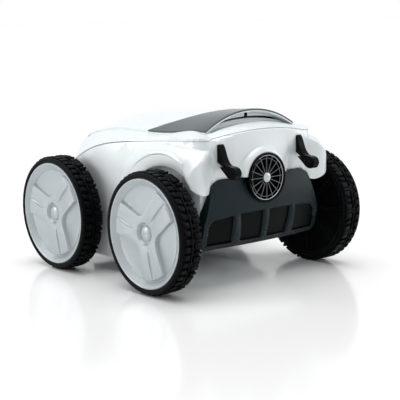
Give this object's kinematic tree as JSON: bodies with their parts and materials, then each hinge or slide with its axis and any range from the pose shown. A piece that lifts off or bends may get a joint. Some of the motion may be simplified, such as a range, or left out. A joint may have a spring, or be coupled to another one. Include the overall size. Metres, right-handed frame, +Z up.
{
  "type": "robotic pool cleaner",
  "caption": "Wheeled robotic pool cleaner: white moulded body, hinged lid with a smoked window, round radial outlet grille, block-tread tyres with silver hub caps, rear bumper.",
  "frame": {"origin": "on the floor under the middle of the machine's bounding box", "axes": "+X the machine's right, +Y forward along the driving direction with the water outlet at the rear, +Z up"},
  "size_m": [0.43, 0.4885, 0.303],
  "materials": {
    "white_gloss": "gloss",
    "silver_paint": "satin",
    "tyre_rubber": "matte",
    "wheel_black": "satin",
    "gear_plastic": "satin",
    "machine_grey": "matte",
    "brush_rubber": "matte",
    "gloss_black": "gloss",
    "charcoal_satin": "satin",
    "smoked_window": "gloss",
    "steel": "satin",
    "bush_plastic": "satin",
    "filter_mesh": "fine mesh",
    "foam": "closed cell foam"
  },
  "bodies": {
    "root": {"chassis_tub": "white_gloss", "body_shell": "white_gloss", "top_deck": "white_gloss", "hinge_pins": "steel", "rear_bumper": "charcoal_satin", "outlet_bezel": "gloss_black", "outlet_grille": "silver_paint", "grille_hub": "silver_paint", "outlet_duct": "machine_grey", "motor_block": "machine_grey", "axle_bushes": "bush_plastic", "gear_plate_right": "machine_grey", "gear_plate_left": "machine_grey", "support_foot_right": "gloss_black", "support_foot_left": "gloss_black", "filter_frame": "machine_grey", "filter_mesh": "filter_mesh", "filter_cover": "gear_plastic", "filter_handle": "machine_grey", "intake_plate": "machine_grey", "belly_screws": "steel", "float_blocks": "foam", "cable_gland": "gloss_black"},
    "wheel_front_right": {"tyre_front_right": "tyre_rubber", "rim_front_right": "wheel_black", "hub_cap_front_right": "silver_paint", "axle_gear_front_right": "gear_plastic"},
    "wheel_rear_right": {"tyre_rear_right": "tyre_rubber", "rim_rear_right": "wheel_black", "hub_cap_rear_right": "silver_paint", "axle_gear_rear_right": "gear_plastic"},
    "motor_pinion_body_right": {"motor_pinion_right": "gear_plastic"},
    "idler_rear_body_right": {"idler_rear_right": "gear_plastic"},
    "idler_front_body_right": {"idler_front_right": "gear_plastic"},
    "brush_right": {"brush_core_right": "machine_grey", "brush_blades_right": "brush_rubber"},
    "wheel_front_left": {"tyre_front_left": "tyre_rubber", "rim_front_left": "wheel_black", "hub_cap_front_left": "silver_paint", "axle_gear_front_left": "gear_plastic"},
    "wheel_rear_left": {"tyre_rear_left": "tyre_rubber", "rim_rear_left": "wheel_black", "hub_cap_rear_left": "silver_paint", "axle_gear_rear_left": "gear_plastic"},
    "motor_pinion_body_left": {"motor_pinion_left": "gear_plastic"},
    "idler_rear_body_left": {"idler_rear_left": "gear_plastic"},
    "idler_front_body_left": {"idler_front_left": "gear_plastic"},
    "brush_left": {"brush_core_left": "machine_grey", "brush_blades_left": "brush_rubber"},
    "pump": {"propeller": "machine_grey", "pump_shaft": "steel"},
    "lid": {"lid_frame": "white_gloss", "lid_window": "smoked_window"},
    "latch": {"latch_button": "gloss_black"},
    "flap": {"intake_flap": "brush_rubber"}
  },
  "joints": [
    {"name": "wheel_front_right_spin", "type": "hinge", "parent": "root", "child": "wheel_front_right", "pos_m": [0.19, 0.138, 0.106], "axis": [1, 0, 0], "continuous": true},
    {"name": "wheel_rear_right_spin", "type": "hinge", "parent": "root", "child": "wheel_rear_right", "pos_m": [0.19, -0.138, 0.106], "axis": [1, 0, 0], "continuous": true},
    {"name": "motor_pinion_right_spin", "type": "hinge", "parent": "root", "child": "motor_pinion_body_right", "pos_m": [0.126, -0.081, 0.106], "axis": [1, 0, 0], "continuous": true},
    {"name": "idler_rear_right_spin", "type": "hinge", "parent": "root", "child": "idler_rear_body_right", "pos_m": [0.126, -0.0255, 0.106], "axis": [1, 0, 0], "continuous": true},
    {"name": "idler_front_right_spin", "type": "hinge", "parent": "root", "child": "idler_front_body_right", "pos_m": [0.126, 0.0555, 0.106], "axis": [1, 0, 0], "continuous": true},
    {"name": "brush_right_spin", "type": "hinge", "parent": "root", "child": "brush_right", "pos_m": [0.1, 0.17038, 0.05909], "axis": [1, 0, 0], "continuous": true},
    {"name": "wheel_front_left_spin", "type": "hinge", "parent": "root", "child": "wheel_front_left", "pos_m": [-0.19, 0.138, 0.106], "axis": [1, 0, 0], "continuous": true},
    {"name": "wheel_rear_left_spin", "type": "hinge", "parent": "root", "child": "wheel_rear_left", "pos_m": [-0.19, -0.138, 0.106], "axis": [1, 0, 0], "continuous": true},
    {"name": "motor_pinion_left_spin", "type": "hinge", "parent": "root", "child": "motor_pinion_body_left", "pos_m": [-0.126, -0.081, 0.106], "axis": [1, 0, 0], "continuous": true},
    {"name": "idler_rear_left_spin", "type": "hinge", "parent": "root", "child": "idler_rear_body_left", "pos_m": [-0.126, -0.0255, 0.106], "axis": [1, 0, 0], "continuous": true},
    {"name": "idler_front_left_spin", "type": "hinge", "parent": "root", "child": "idler_front_body_left", "pos_m": [-0.126, 0.0555, 0.106], "axis": [1, 0, 0], "continuous": true},
    {"name": "brush_left_spin", "type": "hinge", "parent": "root", "child": "brush_left", "pos_m": [-0.1, 0.17038, 0.05909], "axis": [1, 0, 0], "continuous": true},
    {"name": "pump_spin", "type": "hinge", "parent": "root", "child": "pump", "pos_m": [0, -0.17, 0.1863], "axis": [0, 1, 0], "continuous": true},
    {"name": "lid_hinge", "type": "hinge", "parent": "root", "child": "lid", "pos_m": [0, 0.167, 0.256], "axis": [-1, 0, 0], "range_deg": [0, 70]},
    {"name": "latch_press", "type": "slide", "parent": "lid", "child": "latch", "axis": [0, 1, 0], "range_m": [0, 0.003], "stiffness_N_per_m": 400},
    {"name": "flap_hinge", "type": "hinge", "parent": "root", "child": "flap", "pos_m": [0, 0.03, 0.06], "axis": [1, 0, 0], "range_deg": [0, 70]}
  ],
  "couplings": [
    {"joint": "wheel_rear_right_spin", "follows": "wheel_front_right_spin", "ratio": 1},
    {"joint": "motor_pinion_right_spin", "follows": "wheel_front_right_spin", "ratio": -2.1667},
    {"joint": "idler_rear_right_spin", "follows": "wheel_front_right_spin", "ratio": 1.04},
    {"joint": "idler_front_right_spin", "follows": "wheel_front_right_spin", "ratio": -0.89655},
    {"joint": "brush_right_spin", "follows": "wheel_front_right_spin", "ratio": -2.1667},
    {"joint": "wheel_rear_left_spin", "follows": "wheel_front_left_spin", "ratio": 1},
    {"joint": "motor_pinion_left_spin", "follows": "wheel_front_left_spin", "ratio": -2.1667},
    {"joint": "idler_rear_left_spin", "follows": "wheel_front_left_spin", "ratio": 1.04},
    {"joint": "idler_front_left_spin", "follows": "wheel_front_left_spin", "ratio": -0.89655},
    {"joint": "brush_left_spin", "follows": "wheel_front_left_spin", "ratio": -2.1667}
  ]
}
